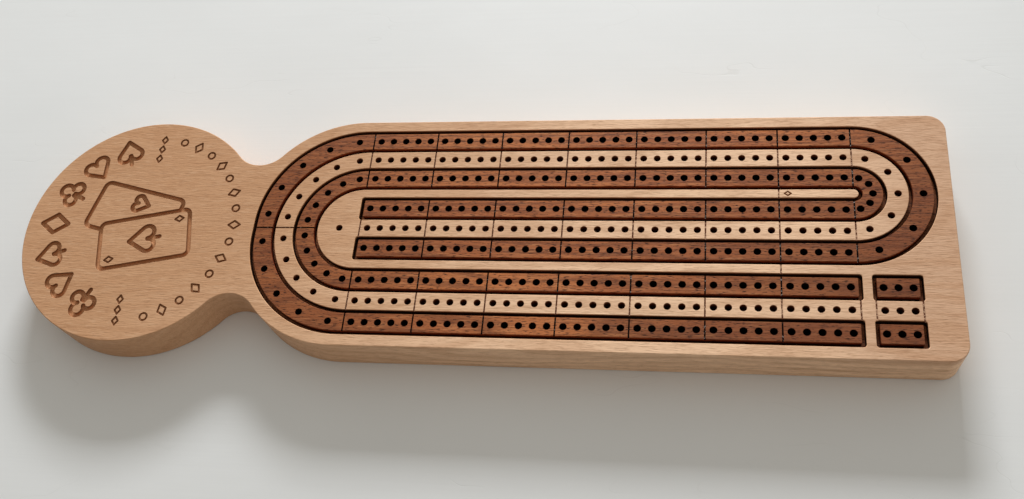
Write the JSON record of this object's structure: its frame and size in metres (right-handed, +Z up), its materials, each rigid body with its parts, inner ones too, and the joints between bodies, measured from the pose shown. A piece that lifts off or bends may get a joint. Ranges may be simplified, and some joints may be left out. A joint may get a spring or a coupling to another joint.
{
  "type": "cribbage board",
  "caption": "Paddle-shaped maple cribbage board with walnut-inlaid peg lanes and an underside peg store closed by a sliding steel door.",
  "frame": {"origin": "centre of the board's underside", "axes": "+X along the board from the round head to the square tail, +Y across it towards the side away from the start holes, +Z up out of the playing face"},
  "size_m": [0.5174, 0.1416, 0.025],
  "materials": {
    "maple": "oiled satin hard maple, fine straight grain along X",
    "walnut": "oiled satin walnut, grain along X with dark streaks",
    "door_steel": "brushed along X",
    "peg_brass": "polished",
    "peg_nickel": "polished nickel plate",
    "peg_black": "satin black"
  },
  "bodies": {
    "board": {"board_body": "maple", "outer_lane_inlay": "walnut", "inner_lane_inlay": "walnut", "outer_start_inlay": "walnut", "inner_start_inlay": "walnut"},
    "door": {"peg_store_door": "door_steel"},
    "brass_peg_1": {"peg_brass_1": "peg_brass"},
    "brass_peg_2": {"peg_brass_2": "peg_brass"},
    "brass_peg_3": {"peg_brass_3": "peg_brass"},
    "nickel_peg_1": {"peg_nickel_1": "peg_nickel"},
    "nickel_peg_2": {"peg_nickel_2": "peg_nickel"},
    "nickel_peg_3": {"peg_nickel_3": "peg_nickel"},
    "black_peg_1": {"peg_black_1": "peg_black"},
    "black_peg_2": {"peg_black_2": "peg_black"},
    "black_peg_3": {"peg_black_3": "peg_black"}
  },
  "joints": [
    {"name": "door_slide", "type": "slide", "parent": "board", "child": "door", "axis": [1, 0, 0], "range_m": [0, 0.096]},
    {"name": "brass_peg_1_slide", "type": "slide", "parent": "board", "child": "brass_peg_1", "axis": [1, 0, 0], "range_m": [-0.0025, 0.0025]},
    {"name": "brass_peg_2_slide", "type": "slide", "parent": "board", "child": "brass_peg_2", "axis": [1, 0, 0], "range_m": [-0.0025, 0.0025]},
    {"name": "brass_peg_3_slide", "type": "slide", "parent": "board", "child": "brass_peg_3", "axis": [1, 0, 0], "range_m": [-0.0025, 0.0025]},
    {"name": "nickel_peg_1_slide", "type": "slide", "parent": "board", "child": "nickel_peg_1", "axis": [1, 0, 0], "range_m": [-0.0025, 0.0025]},
    {"name": "nickel_peg_2_slide", "type": "slide", "parent": "board", "child": "nickel_peg_2", "axis": [1, 0, 0], "range_m": [-0.0025, 0.0025]},
    {"name": "nickel_peg_3_slide", "type": "slide", "parent": "board", "child": "nickel_peg_3", "axis": [1, 0, 0], "range_m": [-0.0025, 0.0025]},
    {"name": "black_peg_1_slide", "type": "slide", "parent": "board", "child": "black_peg_1", "axis": [1, 0, 0], "range_m": [-0.0025, 0.0025]},
    {"name": "black_peg_2_slide", "type": "slide", "parent": "board", "child": "black_peg_2", "axis": [1, 0, 0], "range_m": [-0.0025, 0.0025]},
    {"name": "black_peg_3_slide", "type": "slide", "parent": "board", "child": "black_peg_3", "axis": [1, 0, 0], "range_m": [-0.0025, 0.0025]}
  ]
}
